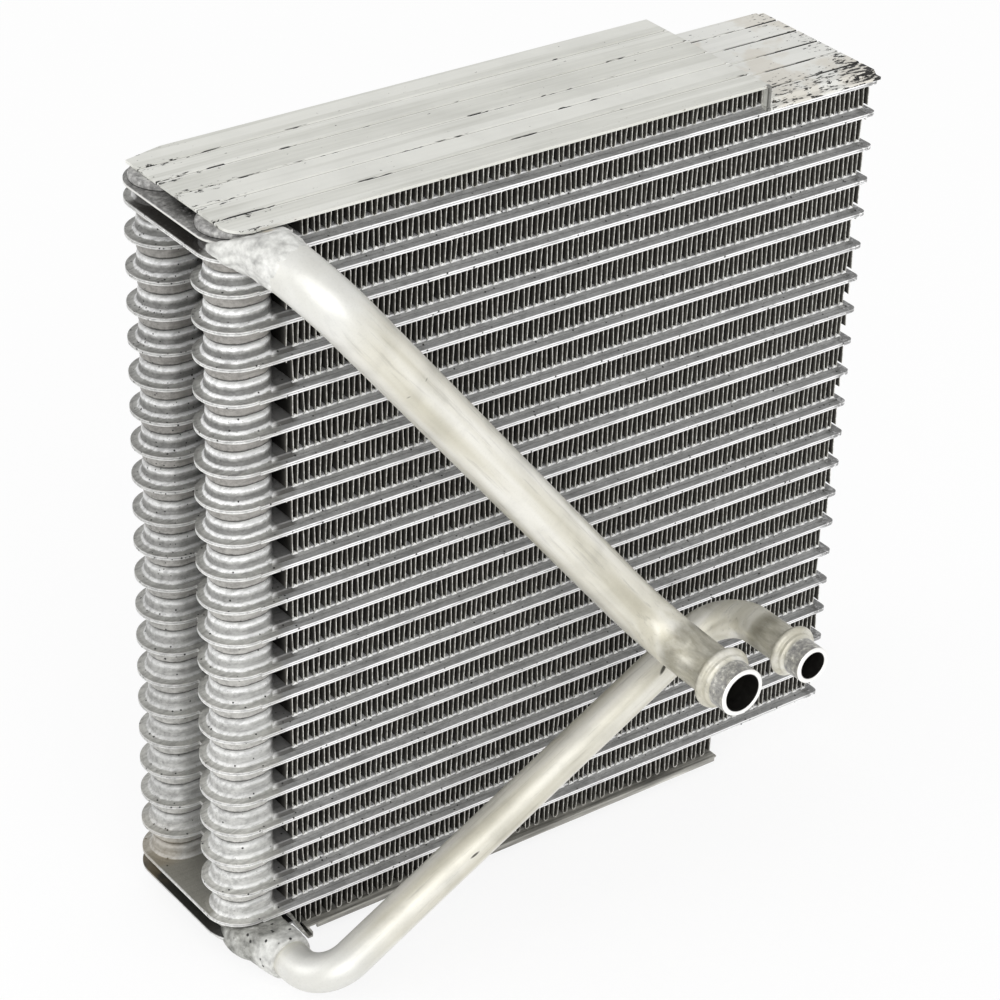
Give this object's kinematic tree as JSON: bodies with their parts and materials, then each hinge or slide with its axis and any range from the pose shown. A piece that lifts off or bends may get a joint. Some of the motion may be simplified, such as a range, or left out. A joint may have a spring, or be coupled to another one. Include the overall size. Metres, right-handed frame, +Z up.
{
  "type": "evaporator",
  "caption": "Laminated plate-fin evaporator of an air-conditioning unit: brazed plate pairs with cup tanks, corrugated fins, side plates, and a bent suction and liquid pipe.",
  "frame": {"origin": "middle of the bottom side plate's front lip, on the lower face of that lip, which the core stands on", "axes": "+X from the tank end to the far end of the core plates, -Y the side from which the pipes come, +Z upwards across the stack"},
  "size_m": [0.2409, 0.1287, 0.2572],
  "materials": {
    "core_sheet": "satin, as brazed",
    "fin_strip": "satin, as brazed",
    "side_sheet": "matt, as brazed",
    "pipe": "satin, as drawn",
    "braze": "rough, as brazed"
  },
  "bodies": {
    "root": {"bottom_end_pair": "core_sheet", "plate_pair_1": "core_sheet", "plate_pair_2": "core_sheet", "plate_pair_3": "core_sheet", "plate_pair_4": "core_sheet", "plate_pair_5": "core_sheet", "plate_pair_6": "core_sheet", "plate_pair_7": "core_sheet", "plate_pair_8": "core_sheet", "plate_pair_9": "core_sheet", "plate_pair_10": "core_sheet", "plate_pair_11": "core_sheet", "plate_pair_12": "core_sheet", "plate_pair_13": "core_sheet", "plate_pair_14": "core_sheet", "plate_pair_15": "core_sheet", "plate_pair_16": "core_sheet", "plate_pair_17": "core_sheet", "plate_pair_18": "core_sheet", "plate_pair_19": "core_sheet", "top_end_pair": "core_sheet", "bottom_fin_layer": "fin_strip", "fin_layer_1": "fin_strip", "fin_layer_2": "fin_strip", "fin_layer_3": "fin_strip", "fin_layer_4": "fin_strip", "fin_layer_5": "fin_strip", "fin_layer_6": "fin_strip", "fin_layer_7": "fin_strip", "fin_layer_8": "fin_strip", "fin_layer_9": "fin_strip", "fin_layer_10": "fin_strip", "fin_layer_11": "fin_strip", "fin_layer_12": "fin_strip", "fin_layer_13": "fin_strip", "fin_layer_14": "fin_strip", "fin_layer_15": "fin_strip", "fin_layer_16": "fin_strip", "fin_layer_17": "fin_strip", "fin_layer_18": "fin_strip", "fin_layer_19": "fin_strip", "fin_layer_20": "fin_strip", "top_fin_layer": "fin_strip", "top_tank_cap": "core_sheet", "bottom_tank_cap": "core_sheet", "top_side_plate": "side_sheet", "bottom_side_plate": "side_sheet", "suction_pipe": "pipe", "suction_collar": "braze", "liquid_pipe": "pipe", "liquid_collar": "braze"}
  },
  "joints": []
}
